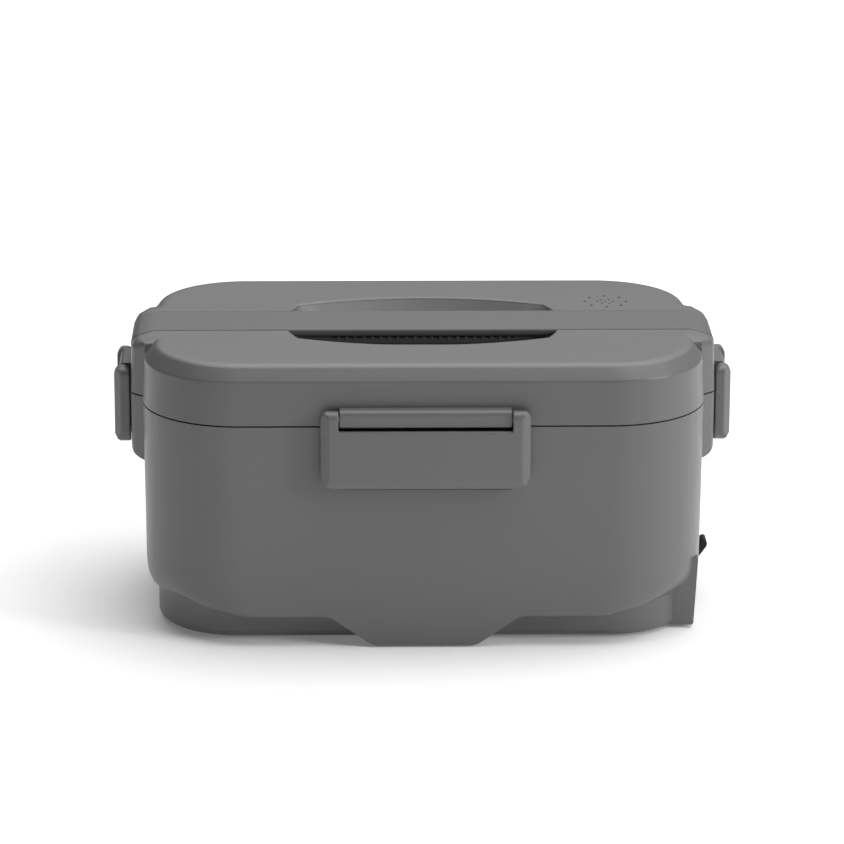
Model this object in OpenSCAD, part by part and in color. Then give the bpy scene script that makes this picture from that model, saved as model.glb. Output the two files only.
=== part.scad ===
// Electric lunch box: a heated chamber with a lift-out tray, closed by a lift-off lid with four snap latches.
// The origin is on the floor, under the middle of the box. The latch side faces -Y and the inlet faces +X.

/* [Outer shell] */
// Width of the body at its rim, without latches
body_w = 216; // [206:1:240]
// Depth of the body at its rim, without latches
body_d = 136; // [130:1:160]
// Height of the body's rim above the floor
rim_z = 88.1; // [84:0.1:100]
// Radius of the vertical corners of body and lid
corner_r = 38; // [36:0.5:44]
// Thickness of the moulded walls
wall = 2.2; // [1.8:0.1:2.6]
// How far the walls lean in between rim and foot
draft = 0.6; // [0:0.1:1.2]
// Height at which the body starts to curve in towards the skirt
turn_z = 26; // [24:0.5:30]
// Height of the body's lower edge
edge_z = 12.5; // [11:0.5:14]

/* [Skirt and tongues] */
// Step from the body's front down to the skirt
skirt_step_d = 9.5; // [8:0.5:12]
// Step from the body's side down to the skirt
skirt_step_w = 5; // [4.5:0.5:6]
// Radius of the skirt's corners
skirt_r = 32; // [28:1:36]
// Rounding of the skirt's lower edge
skirt_round = 3; // [1:0.5:4]
// Height of the skirt above the floor
skirt_z = 1; // [0.8:0.1:1.6]
// Width of the front and rear tongues at their top
tongue_w = 74; // [60:1:90]
// Width of the tongues at their foot
tongue_foot_w = 40; // [30:1:50]

/* [Lid] */
// Gap between the body's rim and the lid
part_gap = 0.6; // [0.3:0.1:1]
// Height of the lid's top face above the body's rim
lid_h = 23.1; // [21:0.1:28]
// Height of the bevel below the lid's top face
bevel_h = 5.6; // [4:0.1:7]
// Width of the bevel
bevel_w = 4.6; // [3:0.1:6]
// Rounding between bevel and top face
bevel_round = 3.5; // [2:0.5:5]

/* [Shoulders] */
// How far the side shoulders stand out
shoulder_out = 5.2; // [4.4:0.1:6]
// Length of a shoulder at the wall
shoulder_l = 54; // [52:1:64]
// Length of a shoulder at its outer face
shoulder_face_l = 43; // [42:1:52]
// Height at which the body's shoulders end
shoulder_foot_z = 62.6; // [58:0.2:64]
// Drop of the shoulder's top towards its outer edge
shoulder_fall = 1.9; // [1:0.1:3]
// Rounding of the shoulder's outer edge
shoulder_round = 4; // [3.2:0.2:4.4]

/* [Handle] */
// Width of the strap
strap_w = 27.6; // [26:0.2:34]
// Thickness of the strap
strap_t = 3.1; // [2:0.1:3.4]
// How far the strap stands above the lid
strap_proud = 0.4; // [0.3:0.1:1.2]
// Gap between the strap's edges and the lid
strap_gap = 0.6; // [0.3:0.1:0.8]
// Length of the strap's ends down the shoulders, below the lid's top face
strap_drop = 12; // [10:0.5:12.5]
// Length of the finger recess
recess_l = 107; // [104:1:112]
// Width of the finger recess at its middle
recess_w = 70; // [66:1:76]
// Radius of the recess's long sides
recess_side_r = 118; // [105:1:140]
// Radius of the recess's ends
recess_end_r = 60; // [58:1:80]
// Depth of the finger recess
recess_depth = 18.4; // [16:0.1:18.6]
// Length of the grip under the strap
grip_l = 96; // [80:1:98]
// Thickness of the grip
grip_t = 4; // [3:0.1:5]
// How far the grip is set back behind the strap's edges
grip_back = 1.7; // [1:0.1:3]
// Number of notches along each side of the grip
notch_count = 22; // [10:1:26]
// Spacing of the notches
notch_pitch = 3.3; // [3:0.1:3.5]

/* [Steam vent] */
// Distance of the vent from the middle towards the inlet side
vent_x = 73.2; // [70:0.2:76]
// Distance of the vent behind the middle
vent_y = 28; // [26:0.1:30]
// Radius of the outer ring of holes
vent_ring_r = 8.3; // [7:0.1:8.5]
// Radius of the inner ring of holes
vent_inner_r = 3.1; // [2.8:0.1:4.5]
// Diameter of the outer holes
vent_hole_d = 1.3; // [1:0.1:1.8]
// Diameter of the inner holes
vent_inner_d = 1; // [0.8:0.1:1.4]

/* [Latches] */
// Length of the front and rear latches
latch_l = 79.4; // [60:0.2:90]
// Length of the side latches
side_latch_l = 36; // [34:0.2:40]
// Height of a latch's foot above the floor
latch_foot_z = 66.5; // [65.5:0.1:67.4]
// Height of the upper edge of a latch's plate
latch_plate_z = 89.6; // [88.6:0.1:89.8]
// How much lower the front and rear latches hang than the side latches
latch_drop = 1.6; // [1:0.1:1.8]
// How far a latch stands out from its wall
latch_out = 6.6; // [6.2:0.1:7.4]
// Thickness of a latch's plate
latch_t = 2.4; // [1.8:0.1:2.6]
// Width of a latch's arms
arm_w = 6.9; // [6:0.1:8]
// Corner radius at a latch's foot
latch_r = 5.9; // [3:0.1:7]
// Width of the bevel along a latch's sides
latch_bevel_w = 3.2; // [2:0.1:4]
// Depth of that bevel
latch_bevel_d = 2.6; // [1:0.1:2.8]
// Height of the bevel at a latch's foot
latch_foot_h = 3.4; // [2:0.1:4]
// Rounding of the arms' upper corners
arm_round = 3.2; // [1:0.1:3.4]
// Height of the hinge axis above the body's rim
hinge_up = 5.9; // [5.7:0.1:6.5]
// Distance of the hinge axis from the wall
hinge_out = 3.5; // [3.4:0.1:3.8]
// Radius of the hinge stubs
stub_r = 1.2; // [1:0.05:1.4]
// Length of the hinge stubs
stub_l = 3; // [2:0.1:4]
// Height of the hinge bars
bar_h = 6.8; // [6.2:0.1:7]
// How far the hinge bars stand out
bar_out = 4.9; // [4.8:0.1:5.4]
// Height of the catch ribs' undersides
catch_z = 72.5; // [72:0.1:74]
// How far the catch ribs stand out
catch_out = 2.6; // [2.2:0.1:2.9]
// Height of a catch rib
catch_h = 3; // [2.4:0.1:4]
// How far a latch's hook reaches in behind the rib's nose
hook_bite = 1.2; // [0.6:0.1:1.4]

/* [Chamber and tray] */
// Depth below the rim of the ledge that carries the chamber
ledge_down = 6.9; // [6.8:0.1:8]
// Distance between the body's and the chamber's walls
air_gap = 7.8; // [7:0.1:9]
// Thickness of the chamber's wall
liner_t = 2; // [1.6:0.1:2.4]
// Height of the chamber's floor above the floor the box stands on
liner_floor_z = 24; // [23:0.1:26]
// Thickness of the tray's metal
tray_t = 0.8; // [0.6:0.1:1]
// Gap between tray and chamber
tray_gap = 0.8; // [0.5:0.1:1.5]
// How far the tray's walls lean in
tray_taper = 2.7; // [1:0.1:4]
// Rounding of the tray's floor
tray_round = 6; // [4:0.5:9]
// Height of the tray's rim above the ledge
tray_rim_up = 4.2; // [4:0.1:4.4]

/* [Heater] */
// Length of the heating plate
plate_l = 140; // [120:1:150]
// Width of the heating plate
plate_w = 84; // [76:1:90]
// Corner radius of the heating plate
plate_r = 18; // [10:1:24]
// Thickness of the heating plate
plate_t = 2.5; // [2:0.1:3]
// Width of the gasket under the plate
gasket_w = 8; // [7:0.5:10]
// Thickness of the gasket
gasket_t = 1; // [0.8:0.1:1.4]
// Length of the heating element
heater_l = 60; // [40:1:70]
// Width of the heating element
heater_w = 22; // [18:1:28]
// Thickness of the heating element
heater_t = 6; // [5:0.1:7]

/* [Inlet] */
// Length of the inlet housing along the side
housing_l = 92; // [80:1:100]
// How far the housing's face lies inside the body's side
housing_in = 2; // [1.8:0.1:2.6]
// Height of the middle of the inlet
inlet_z = 12.6; // [12:0.1:13.5]
// Length of the inlet's opening
socket_l = 17; // [15:0.5:18]
// Height of the inlet's opening
socket_h = 8.6; // [8:0.1:9.5]
// Depth of the inlet's opening
socket_depth = 9.5; // [8:0.1:11]
// Diameter of the contact pins
pin_d = 2.4; // [2:0.1:2.6]
// Spacing of the contact pins
pin_pitch = 8.6; // [8:0.1:9]
// Height of the rubber cover
cover_h = 16; // [15:0.1:17]

/* [Feet and fasteners] */
// Diameter of the rubber feet
foot_d = 14; // [10:0.5:18]
// Thickness of the bottom cover
cover_t = 2.2; // [2:0.1:2.6]
// Shank diameter of the screws
screw_d = 2.9; // [2.5:0.1:3]
// Head diameter of the screws
screw_head_d = 5.4; // [5:0.1:6]

/* [Hidden] */

$fn = 64;
// Clearances: between moving neighbours, between seated pieces, and in running and screw holes
move_gap = 0.4;
seat_gap = 0.3;
run_gap = 0.05;
eps = 0.01;

// Every ring of the box is a profile swept round this inner rectangle, at a distance u from it
core_x = body_w / 2 - corner_r;
core_y = body_d / 2 - corner_r;
u_out = corner_r;
u_in = corner_r - wall;
foot_u = corner_r - draft;

// Lid heights
lid_z = rim_z + part_gap;
top_z = rim_z + lid_h;
crease_z = top_z - bevel_h;
strap_z = top_z + strap_proud;
shoulder_x = body_w / 2 + shoulder_out;
shoulder_lean = 0.5;
shoulder_top_x = shoulder_x - shoulder_lean;
roof_z = top_z - wall;

// Latches
hinge_z = rim_z + hinge_up;
arm_top_r = latch_out - hinge_out;
bar_gap = 0.5;
hook_z = catch_z - move_gap;
foot_bevel_d = latch_t - 0.4;

// Chamber, tray and inner lid
ledge_z = rim_z - ledge_down;
liner_u = u_in - air_gap;
chamber_u = liner_u - liner_t;
flange_t = 2;
flange_z = ledge_z + flange_t;
plate_z = liner_floor_z + liner_t + gasket_t;
plate_top_z = plate_z + plate_t;
tray_u = chamber_u - tray_gap;
tray_z = plate_top_z + seat_gap;
tray_rim_z = ledge_z + tray_rim_up;
tray_flange_u = tray_u + 5.5;
seal_h = 2.6;
seal_z = tray_rim_z + 0.2;
seal_in_u = tray_u + 1.2;
seal_w = 3.7;
seal_fit = 0.1;
inner_lid_z = seal_z + seal_h + seal_fit;
inner_lid_t = 1.8;
inner_lid_top = inner_lid_z + inner_lid_t;
recess_floor_z = max(top_z - recess_depth, inner_lid_top + seat_gap + wall);

// Skirt
skirt_x = body_w / 2 - skirt_step_w;
skirt_y = body_d / 2 - skirt_step_d;
skirt_top_z = edge_z + wall;

// Inlet
housing_x = body_w / 2 - housing_in;
inlet_front_x = housing_x - 2;

// Fasteners, feet and small parts
boss_r = 4;
boss_z = skirt_z + cover_t;
cover_in = skirt_round + 1 + seat_gap;
boss_y = skirt_y - cover_in - boss_r - 0.6;
boss_places = [for (sx = [-1, 0, 1], sy = [-1, 1]) [sx * core_x, sy * boss_y]];
foot_places = [for (sx = [-1, 1], sy = [-1, 1]) [sx * (core_x + 8), sy * (core_y + 4)]];
screw_l = 10;
screw_head_h = 1.2;
stud_r = 1.4;
stud_hole_r = 1.5;
stud_in = 22;
stud_places = [for (sx = [-1, 1], sy = [-1, 1])
    [sx * (plate_l - gasket_w) / 2, sy * (plate_w / 2 - stud_in)]];
nut_h = 2.4;
clamp_foot_y = heater_w / 2 + 8;
thermostat_x = heater_l / 2 + 18;
fuse_x = -heater_l / 2 - 12;
fuse_l = 12;
fuse_r = 2;
thermostat_h = 6;
neutral_x = 18;
lead_r = 0.9;
ledge_w = 3.4;
cover_l = 28;
inlet_l = socket_l + 6;
inlet_h = socket_h + 5;
inlet_depth = socket_depth + 6;
inlet_back_x = inlet_front_x - inlet_depth - 2 * seat_gap;
under_t = 1.8;
under_x = 48;
under_w = strap_w + 2 * strap_gap + 3;
pad_t = 4;
pad_x = 84;
pad_l = 18;
strap_boss_h = 2;
strap_boss_d = 7;
strap_bite = 1.5;
handle_screw_places = [for (sx = [-1, 1], sy = [-1, 1]) [sx * pad_x, sy * 8]];
grip_screw_places = [[-36, 0], [36, 0]];
post_places = [[-86, -42], [-86, 42], [86, -42], [86, 42], [0, -53], [0, 53]];
post_r = 3.5;
chimney_r = 11.5;
valve_r = 4;

// ---------------------------------------------------------------- helpers

function arc(cx, cy, r, from, to, steps = 6) =
    [for (i = [0:steps]) let (a = from + (to - from) * i / steps) [cx + r * cos(a), cy + r * sin(a)]];

function bezier(p, q, r, steps = 5) =
    [for (i = [0:steps]) let (t = i / steps) (1 - t) * (1 - t) * p + 2 * t * (1 - t) * q + t * t * r];

function reversed(pts) = [for (i = [len(pts) - 1:-1:0]) pts[i]];

function mirrored(pts) = [for (p = pts) [-p[0], p[1]]];

// Rounded rectangle from its half sizes
module round_rect(a, b, r) {
    square([2 * (a - r), 2 * b], center = true);
    square([2 * a, 2 * (b - r)], center = true);
    for (sx = [-1, 1], sy = [-1, 1]) translate([sx * (a - r), sy * (b - r)]) circle(r);
}

// Rounded rectangle at a distance u round the box's core
module core_rect(u) {
    round_rect(core_x + u, core_y + u, u);
}

// Sweeps a profile, drawn as distance outwards and height, round a rectangle of half sizes a and b
module swept(a = core_x, b = core_y) {
    for (turn = [0, 180]) rotate(turn) {
        translate([a, b, 0]) rotate([90, 0, 0]) linear_extrude(2 * b) children();
        translate([-a, b, 0]) rotate([90, 0, 90]) linear_extrude(2 * a) children();
        translate([a, b, 0]) rotate_extrude(angle = 90) children();
        translate([-a, b, 0]) rotate(90) rotate_extrude(angle = 90) children();
    }
}

// Flat block that fills the core between two heights
module core_block(z, h) {
    translate([-core_x, -core_y, z]) cube([2 * core_x, 2 * core_y, h]);
}

// Places a piece drawn with X along the wall and Y outwards
module on_front() { translate([0, -body_d / 2, -latch_drop]) rotate(180) children(); }
module on_rear() { translate([0, body_d / 2, -latch_drop]) children(); }
module on_right() { translate([shoulder_x, 0, 0]) rotate(-90) children(); }
module on_left() { translate([-shoulder_x, 0, 0]) rotate(90) children(); }

// Extrudes a profile of distance outwards and height along X
module along_x(l) {
    translate([-l / 2, 0, 0]) rotate([90, 0, 90]) linear_extrude(l) children();
}

// Extrudes a profile of X and height along Y
module along_y(l) {
    translate([0, l / 2, 0]) rotate([90, 0, 0]) linear_extrude(l) children();
}

// ---------------------------------------------------------------- body

// The body's lower part curves in from turn_z to edge_z, in slabs that are hulled in turn
turn_steps = [0, 0.24, 0.46, 0.66, 0.84, 1];
turn_r = 8;
front_flat = core_x - 4;
side_flat = core_y - 6;
turn_in = skirt_step_w + 1.4;

function turn_share(t) = 1 - sqrt(1 - t * t);

module turn_slab(t) {
    share = turn_share(t);
    r = foot_u + (turn_r - foot_u) * share;
    translate([0, 0, turn_z - (turn_z - edge_z) * t]) linear_extrude(eps) for (sx = [-1, 1], sy = [-1, 1]) {
        translate([sx * (core_x + (front_flat - core_x) * share), sy * (core_y + foot_u - r)])
            circle(r, $fn = 56);
        translate([sx * (core_x + foot_u - turn_in * share - r),
                   sy * (core_y + (side_flat - core_y) * share)])
            circle(r, $fn = 56);
    }
}

module inlet_housing() {
    z = skirt_z + 0.2;
    lean = 1.4;
    along_y(housing_l) polygon([[skirt_x - skirt_r / 2, z], [housing_x - lean - 0.6, z],
                                [housing_x - lean, z + 0.6], [housing_x, turn_z + 2],
                                [skirt_x - skirt_r / 2, turn_z + 2]]);
}

module body_lower() {
    difference() {
        union() {
            for (i = [1:len(turn_steps) - 1]) hull() {
                turn_slab(turn_steps[i - 1]);
                turn_slab(turn_steps[i]);
            }
            inlet_housing();
        }
        translate([0, 0, skirt_top_z]) linear_extrude(turn_z)
            round_rect(skirt_x - wall + 0.3, body_d / 2 - draft - wall - 0.6, corner_r + turn_r);
        // The opening ends within the skirt's wall
        translate([0, 0, -1]) linear_extrude(turn_z)
            round_rect(skirt_x - wall / 2, skirt_y - wall / 2, skirt_r - wall / 2 - 1);
    }
}

// Straight walls, with the ledge that carries the chamber
module body_walls() {
    swept() polygon([[u_out, rim_z], [foot_u, turn_z], [foot_u - wall, turn_z], [u_in - 0.1, ledge_z - 5.5],
                     [u_in - ledge_w, ledge_z - 1.6], [u_in - ledge_w, ledge_z], [u_in, ledge_z],
                     [u_in, rim_z]]);
}

// Skirt under the body, with a rounded lower edge
module skirt() {
    top = skirt_top_z + 1.6;
    lip = skirt_round + 1;
    swept(skirt_x - skirt_r, skirt_y - skirt_r)
        polygon(concat([[skirt_r, top]],
                       arc(skirt_r - skirt_round, skirt_z + skirt_round, skirt_round, 0, -90),
                       [[skirt_r - lip, skirt_z], [skirt_r - lip, skirt_z + cover_t],
                        [skirt_r - wall, skirt_z + lip], [skirt_r - wall, top]]));
}

// Tongue that runs down from the front wall to the floor
module tongue() {
    foot = skirt_z - 0.3;
    a = tongue_w / 2;
    b = tongue_foot_w / 2;
    side = concat([[a + 2, edge_z + 0.5], [a + 2, edge_z]], bezier([a + 1.5, edge_z], [a - 1, edge_z],
                  [a - 3.2, edge_z - 2]), bezier([b + 2.4, foot + 1.9], [b, foot], [b - 2.6, foot]));
    translate([0, (skirt_y + body_d / 2 - draft - 1) / 2, 0])
        along_y(body_d / 2 - draft - skirt_y + 1) polygon(concat(side, reversed(mirrored(side))));
}

// Rib behind which a latch's hook snaps
module catch_rib(l) {
    along_x(l) polygon([[-1, catch_z], [catch_out - 0.4, catch_z], [catch_out, catch_z + 0.5],
                        [catch_out, catch_z + 1.2], [0.2, catch_z + catch_h], [-1, catch_z + catch_h]]);
}

// Plan outline of a shoulder from x to its outer face at out, shortened by cut at each end
module shoulder_plan(x, out, cut = 0) {
    wide = shoulder_l / 2 - cut;
    face = shoulder_face_l / 2 - cut;
    side = concat([[x, wide], [min(body_w / 2 - 0.8, out - 2.4), wide]],
                  bezier([out - 1.6, face + 1.6], [out, face], [out, face - 3.2], 4));
    polygon(concat(side, [for (p = reversed(side)) [p[0], -p[1]]]));
}

module body_shoulder() {
    foot = shoulder_foot_z;
    inner = body_w / 2 - draft;
    intersection() {
        linear_extrude(rim_z) shoulder_plan(body_w / 2 - wall + 0.4, shoulder_x);
        along_y(shoulder_l + 1) polygon(concat([[0, foot], [0, rim_z], [shoulder_x, rim_z]],
            bezier([shoulder_x - 0.1, foot + 5], [shoulder_x - 0.1, foot + 0.6], [inner, foot], 5)));
    }
}

module base_bosses() {
    h = skirt_top_z - boss_z;
    for (p = boss_places) {
        translate([p[0], p[1], boss_z]) cylinder(r = boss_r, h = h);
        // Web between boss and skirt
        translate([p[0] - 1, sign(p[1]) * (abs(p[1]) + skirt_y - wall / 2) / 2, boss_z + h / 2 + 1])
            cube([2, skirt_y - wall / 2 - abs(p[1]), h - 2], center = true);
    }
}

module outer_body() {
    color("dimgray") difference() {
        union() {
            body_walls();
            body_lower();
            skirt();
            for (turn = [0, 180]) rotate(turn) {
                tongue();
                body_shoulder();
            }
            base_bosses();
            on_front() catch_rib(rib_l(latch_l));
            on_rear() catch_rib(rib_l(latch_l));
            on_left() catch_rib(rib_l(side_latch_l));
            on_right() catch_rib(rib_l(side_latch_l));
        }
        for (p = boss_places) translate([p[0], p[1], boss_z - 1])
            cylinder(d = screw_d + 2 * run_gap, h = screw_l);
        // Pocket of the inlet's cover, and the window behind it
        translate([inlet_front_x, -cover_l / 2 - seat_gap, inlet_z - cover_h / 2 - seat_gap])
            cube([20, cover_l + 2 * seat_gap, cover_h + 2 * seat_gap]);
        translate([skirt_x - skirt_r / 2, -inlet_l / 2, inlet_z - inlet_h / 2])
            cube([skirt_r, inlet_l, inlet_h]);
    }
}

module bottom_cover() {
    color("dimgray") difference() {
        translate([0, 0, skirt_z]) linear_extrude(cover_t)
            round_rect(skirt_x - cover_in, skirt_y - cover_in, skirt_r - cover_in);
        for (p = boss_places) translate([p[0], p[1], 0]) {
            cylinder(d = screw_d + 2 * run_gap, h = 10);
            cylinder(d = screw_head_d + 0.4, h = skirt_z + screw_head_h + 0.2);
        }
        for (p = foot_places) translate([p[0], p[1], 0]) cylinder(d = foot_d + 0.2, h = skirt_z + 1);
    }
}

module base_screws() {
    color("silver") for (p = boss_places) translate([p[0], p[1], skirt_z + 0.2]) {
        cylinder(d = screw_head_d, h = screw_head_h);
        cylinder(d = screw_d, h = screw_l - 0.5);
    }
}

module rubber_feet() {
    color("black") for (p = foot_places) translate([p[0], p[1], 0]) {
        cylinder(d1 = foot_d - 1, d2 = foot_d, h = 0.5);
        translate([0, 0, 0.5]) cylinder(d = foot_d, h = skirt_z + 0.5);
    }
}

// ---------------------------------------------------------------- chamber and heater

module chamber_liner() {
    r = 6;
    z = liner_floor_z;
    color("gainsboro") difference() {
        union() {
            swept() polygon(concat([[0, z]], arc(liner_u - r, z + r, r, -90, 0),
                                   [[liner_u, ledge_z], [u_in - seat_gap, ledge_z],
                                    [u_in - seat_gap, flange_z], [chamber_u, flange_z]],
                                   arc(liner_u - r, z + r, r - liner_t, 0, -90), [[0, z + liner_t]]));
            core_block(z, liner_t);
        }
        translate([0, 0, z - 1]) linear_extrude(liner_t + 2)
            round_rect(plate_l / 2 - gasket_w, plate_w / 2 - gasket_w, plate_r - gasket_w);
        for (p = stud_places) translate([p[0], p[1], z - 1]) cylinder(r = stud_hole_r, h = liner_t + 2);
    }
}

module plate_gasket() {
    color("firebrick") translate([0, 0, liner_floor_z + liner_t]) linear_extrude(gasket_t) difference() {
        round_rect(plate_l / 2, plate_w / 2, plate_r);
        round_rect(plate_l / 2 - gasket_w, plate_w / 2 - gasket_w, plate_r - gasket_w);
        for (p = stud_places) translate(p) circle(stud_hole_r);
    }
}

module heating_plate() {
    color("silver") {
        difference() {
            translate([0, 0, plate_z]) linear_extrude(plate_t) round_rect(plate_l / 2, plate_w / 2, plate_r);
            for (sy = [-1, 1]) translate([0, sy * clamp_foot_y, plate_z - 1])
                cylinder(d = screw_d + 2 * run_gap, h = 2.8);
        }
        for (p = stud_places) translate([p[0], p[1], liner_floor_z - nut_h - 0.6])
            cylinder(r = stud_r, h = plate_z + 0.5 - liner_floor_z + nut_h + 0.6);
    }
}

module plate_nuts() {
    color("goldenrod") for (p = stud_places) translate([p[0], p[1], liner_floor_z - nut_h]) difference() {
        cylinder(r = 2.9, h = nut_h, $fn = 6);
        translate([0, 0, -1]) cylinder(r = stud_hole_r, h = nut_h + 2);
    }
}

module ptc_heater() {
    color("lightgray") difference() {
        translate([-heater_l / 2, -heater_w / 2, plate_z - heater_t]) cube([heater_l, heater_w, heater_t]);
        // End slots of the element's pressed sleeve
        for (sx = [-1, 1]) translate([sx * heater_l / 2, 0, plate_z - heater_t / 2])
            cube([4, heater_w - 5, 1.6], center = true);
    }
}

// Steel strap that presses the element against the plate
module heater_clamp() {
    t = 1.2;
    y = heater_w / 2 + seat_gap;
    z = plate_z - heater_t;
    half = [[0, z - t], [y + t, z - t], [y + t, plate_z - t], [clamp_foot_y + 4, plate_z - t],
            [clamp_foot_y + 4, plate_z], [y, plate_z], [y, z], [0, z]];
    color("gray") difference() {
        for (turn = [0, 180]) rotate(turn) along_x(12) polygon(half);
        for (sy = [-1, 1]) translate([0, sy * clamp_foot_y, plate_z - 5])
            cylinder(d = screw_d + 2 * run_gap, h = 10);
    }
}

module clamp_screws() {
    color("silver") for (sy = [-1, 1]) translate([0, sy * clamp_foot_y, plate_z - 1.2]) {
        translate([0, 0, -1.6]) cylinder(d = screw_head_d, h = 1.6);
        cylinder(d = screw_d, h = 2.8);
    }
}

module thermostat() {
    color("saddlebrown") translate([thermostat_x, 0, plate_z]) {
        translate([0, 0, -1.2]) cylinder(r = 8, h = 1.2);
        translate([0, 0, -thermostat_h]) cylinder(r = 7, h = thermostat_h - 1);
    }
}

module thermal_fuse() {
    z = plate_z - fuse_r - seat_gap;
    color("lightsteelblue") translate([fuse_x, 0, z]) rotate([90, 0, 0]) {
        cylinder(r = fuse_r, h = fuse_l, center = true);
        cylinder(r = 0.5, h = fuse_l + 8, center = true);
    }
}

// ---------------------------------------------------------------- inlet and wiring

// Figure-eight outline of the inlet's opening, drawn as Y and height
module socket_outline(grow = 0) {
    r = socket_h / 2 + grow;
    for (sy = [-1, 1]) translate([sy * (socket_l / 2 - socket_h / 2), 0]) circle(r);
    square([socket_l - socket_h, 2 * r], center = true);
}

// Extrudes an outline of Y and height inwards from a distance along X
module inwards(x, depth) {
    translate([x - depth, 0, inlet_z]) rotate([90, 0, 90]) linear_extrude(depth) children();
}

module power_inlet() {
    x = inlet_front_x - seat_gap;
    color("black") difference() {
        union() {
            inwards(x, inlet_depth) square([inlet_l - 0.4, inlet_h - 0.4], center = true);
            // Flange behind the skirt's wall
            inwards(skirt_x - wall - seat_gap, 2) square([inlet_l + 5, inlet_h], center = true);
        }
        inwards(x + 1, socket_depth + 1) socket_outline();
        for (sy = [-1, 1]) translate([x - inlet_depth - 1, sy * pin_pitch / 2, inlet_z]) rotate([0, 90, 0])
            cylinder(d = pin_d + 2 * run_gap, h = inlet_depth);
    }
}

module inlet_pins() {
    x = inlet_front_x - seat_gap;
    color("goldenrod") for (sy = [-1, 1])
        translate([x - inlet_depth, sy * pin_pitch / 2, inlet_z]) rotate([0, 90, 0])
            cylinder(d = pin_d, h = inlet_depth - 2);
}

// Rubber cover, with a shallow plug and a tab that leans out
module inlet_cover() {
    x = inlet_front_x + 0.1;
    t = 1.5;
    z = inlet_z;
    color([0.05, 0.05, 0.05]) {
        inwards(x + t, t) round_rect(cover_l / 2, cover_h / 2, 2.5);
        inwards(x + 0.1, 1.3) socket_outline(-0.4);
        along_y(8) polygon([[x + t - 0.5, z - 1.6], [x + t, z - 1.6], [x + 5.4, z + 1.8], [x + 8.8, z + 6.6],
                            [x + 9, z + 7.8], [x + 8.6, z + 8.9], [x + 7.7, z + 9.3], [x + 6.8, z + 8.9],
                            [x + 4.2, z + 5], [x + t, z + 2.8], [x + t - 0.5, z + 2.8]]);
    }
}

// Lead that runs inwards from x1 to x2 at height z and turns up to the height top
module lead(x1, x2, y, z, top) {
    bend = 4;
    translate([x2 + bend, y, z]) rotate([0, 90, 0]) cylinder(r = lead_r, h = x1 - x2 - bend);
    translate([x2 + bend, y, z + bend]) rotate([90, 180, 0]) rotate_extrude(angle = 90)
        translate([bend, 0]) circle(lead_r);
    translate([x2, y, z + bend]) cylinder(r = lead_r, h = top - z - bend);
}

module live_lead() {
    color("brown") lead(inlet_back_x, thermostat_x + 2, pin_pitch / 2, inlet_z,
                        plate_z - thermostat_h - seat_gap);
}

module neutral_lead() {
    color("royalblue") lead(inlet_back_x, neutral_x, -pin_pitch / 2, inlet_z,
                            plate_z - heater_t - seat_gap);
}

// Lead between thermostat and fuse
module link_lead() {
    z = inlet_z + 2.5;
    lead_y = 2.5;
    middle = (thermostat_x - 4 + fuse_x) / 2;
    color("red") {
        lead(middle, fuse_x, lead_y, z, plate_z - 2 * fuse_r - 2 * seat_gap);
        translate([2 * middle, 2 * lead_y, 0]) rotate(180)
            lead(middle, fuse_x, lead_y, z, plate_z - thermostat_h - seat_gap);
    }
}

module food_tray() {
    z = tray_z;
    r = tray_round;
    low_u = tray_u - tray_taper;
    hem_u = tray_flange_u;
    color("lightsteelblue") {
        swept() polygon(concat([[0, z]], arc(low_u - r, z + r, r, -90, 0),
                               [[tray_u, tray_rim_z - tray_t], [hem_u - tray_t, tray_rim_z - tray_t],
                                [hem_u - tray_t, flange_z + seat_gap], [hem_u, flange_z + seat_gap],
                                [hem_u, tray_rim_z], [tray_u - tray_t, tray_rim_z]],
                               arc(low_u - r, z + r, r - tray_t, 0, -90), [[0, z + tray_t]]));
        core_block(z, tray_t);
    }
}

// ---------------------------------------------------------------- lid

// Corner point of the bevel at the lid's top, and the rim's outer profile
lid_draft = 0.8;
bevel_u = u_out - lid_draft - bevel_w;
rim_profile = concat([[u_out, lid_z]],
    bezier([u_out - lid_draft, crease_z - 0.7], [u_out - lid_draft, crease_z],
           [u_out - lid_draft - 0.45, crease_z + 0.55], 3),
    bezier([bevel_u + 1, top_z - bevel_h / bevel_w], [bevel_u, top_z], [bevel_u - bevel_round, top_z], 5));

module lid_rim() {
    swept() polygon(concat(rim_profile, [[0, top_z], [0, roof_z], [bevel_u - 1.6, roof_z],
                                         [u_in - lid_draft, crease_z - 1.2], [u_in, lid_z]]));
    core_block(roof_z, wall);
}

// Outline over a shoulder, from its flat top round to its outer face
flat_x = body_w / 2 - 4.2;
fall_angle = atan(shoulder_fall / 7.2);
shoulder_end_r = 4;

function shoulder_curve(x, z, r) =
    let (px = x - r + r * sin(fall_angle), pz = z - (px - flat_x) * tan(fall_angle))
    concat([[flat_x, z]], arc(x - r, pz - r * cos(fall_angle), r, 90 - fall_angle, 0, 7));

// How far a shoulder's ends stand back at a height, for the rounding of their upper edges
function end_cut(z) =
    let (r = shoulder_end_r, up = max(0, z - top_z + r)) r - sqrt(r * r - up * up);

module lid_shoulder() {
    curve = shoulder_curve(shoulder_top_x, top_z, shoulder_round);
    slabs = concat([[shoulder_x, lid_z]], reversed(curve));
    difference() {
        hull() for (p = slabs) translate([0, 0, p[1] - (p[1] > lid_z ? eps : 0)]) linear_extrude(eps)
            shoulder_plan(flat_x - 10, p[0], end_cut(p[1] - eps));
        // Hollow inside the wall and the bevel, up to the roof
        translate([core_x, 0, 0]) along_y(shoulder_l + 2)
            polygon([[0, lid_z - 1], [u_in + 0.2, lid_z - 1], [u_in - lid_draft + 0.2, crease_z - 1.2],
                     [bevel_u - 1.4, roof_z - 0.2], [0, roof_z - 0.2]]);
    }
}

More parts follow.
